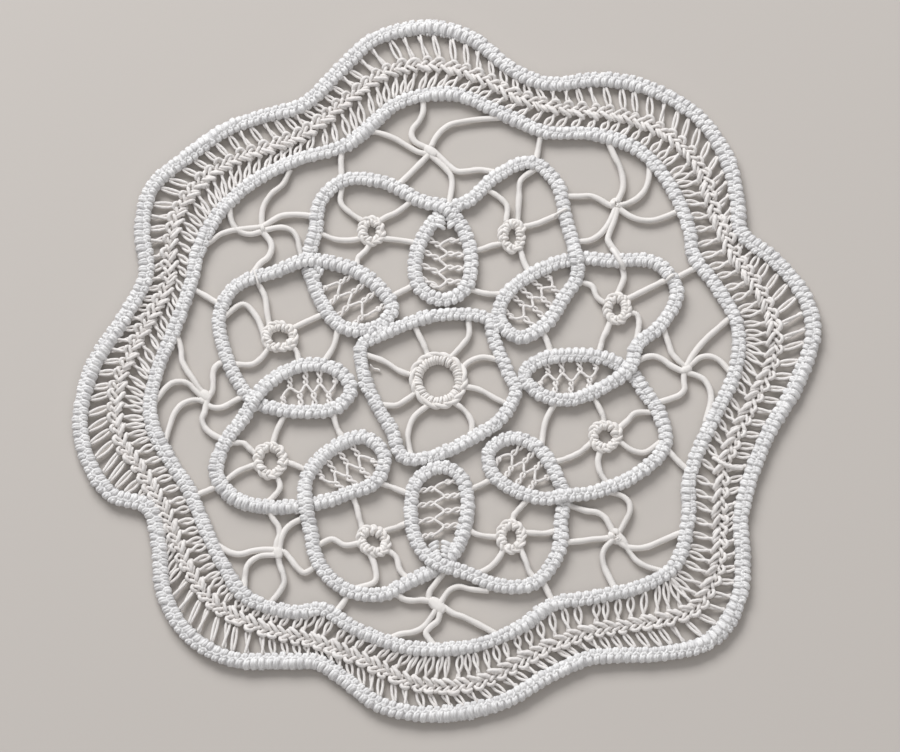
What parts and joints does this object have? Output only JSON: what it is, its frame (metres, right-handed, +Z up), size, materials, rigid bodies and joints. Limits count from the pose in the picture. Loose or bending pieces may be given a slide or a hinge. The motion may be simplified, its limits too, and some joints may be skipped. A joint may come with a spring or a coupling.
{
  "type": "lace doily",
  "caption": "Round point-lace table doily: crocheted cords laid in a petalled flower and scalloped borders, joined by needle-made bars, rings, spiders and an openwork insertion.",
  "frame": {"origin": "under the middle of the bounding box, on the surface that the doily lies on", "axes": "+Z up out of the surface through the thickness; +X across the widest way; +Y towards the top of the pattern"},
  "size_m": [0.1948, 0.1928, 0.0029],
  "materials": {
    "cord_cotton": "off-white mercerised cotton, crocheted into a firm rounded cord",
    "bar_cotton": "cream cotton, closely buttonholed and wrapped, a soft satin",
    "insertion_cotton": "warm off-white single cotton threads, twisted and braided by needle"
  },
  "bodies": {
    "root": {"outer_cord": "cord_cotton", "inner_cord": "cord_cotton", "petals_cord": "cord_cotton", "centre_cord": "cord_cotton", "teardrop_1": "cord_cotton", "teardrop_2": "cord_cotton", "teardrop_3": "cord_cotton", "teardrop_4": "cord_cotton", "teardrop_5": "cord_cotton", "teardrop_6": "cord_cotton", "teardrop_7": "cord_cotton", "teardrop_8": "cord_cotton", "insertion": "insertion_cotton", "teardrop_net_1": "insertion_cotton", "teardrop_net_2": "insertion_cotton", "teardrop_net_3": "insertion_cotton", "teardrop_net_4": "insertion_cotton", "teardrop_net_5": "insertion_cotton", "teardrop_net_6": "insertion_cotton", "teardrop_net_7": "insertion_cotton", "teardrop_net_8": "insertion_cotton", "petal_rosette_1": "bar_cotton", "petal_rosette_2": "bar_cotton", "petal_rosette_3": "bar_cotton", "petal_rosette_4": "bar_cotton", "petal_rosette_5": "bar_cotton", "petal_rosette_6": "bar_cotton", "petal_rosette_7": "bar_cotton", "petal_rosette_8": "bar_cotton", "centre_rosette": "bar_cotton", "gap_spider_1": "bar_cotton", "gap_spider_2": "bar_cotton", "gap_spider_3": "bar_cotton", "gap_spider_4": "bar_cotton", "gap_spider_5": "bar_cotton", "gap_spider_6": "bar_cotton", "gap_spider_7": "bar_cotton", "gap_spider_8": "bar_cotton", "tie_1": "bar_cotton", "tie_2": "bar_cotton", "tie_3": "bar_cotton", "tie_4": "bar_cotton", "tie_5": "bar_cotton", "tie_6": "bar_cotton", "tie_7": "bar_cotton", "tie_8": "bar_cotton", "link_1": "bar_cotton", "link_2": "bar_cotton", "link_3": "bar_cotton", "link_4": "bar_cotton", "link_5": "bar_cotton", "link_6": "bar_cotton", "link_7": "bar_cotton", "link_8": "bar_cotton"}
  },
  "joints": []
}
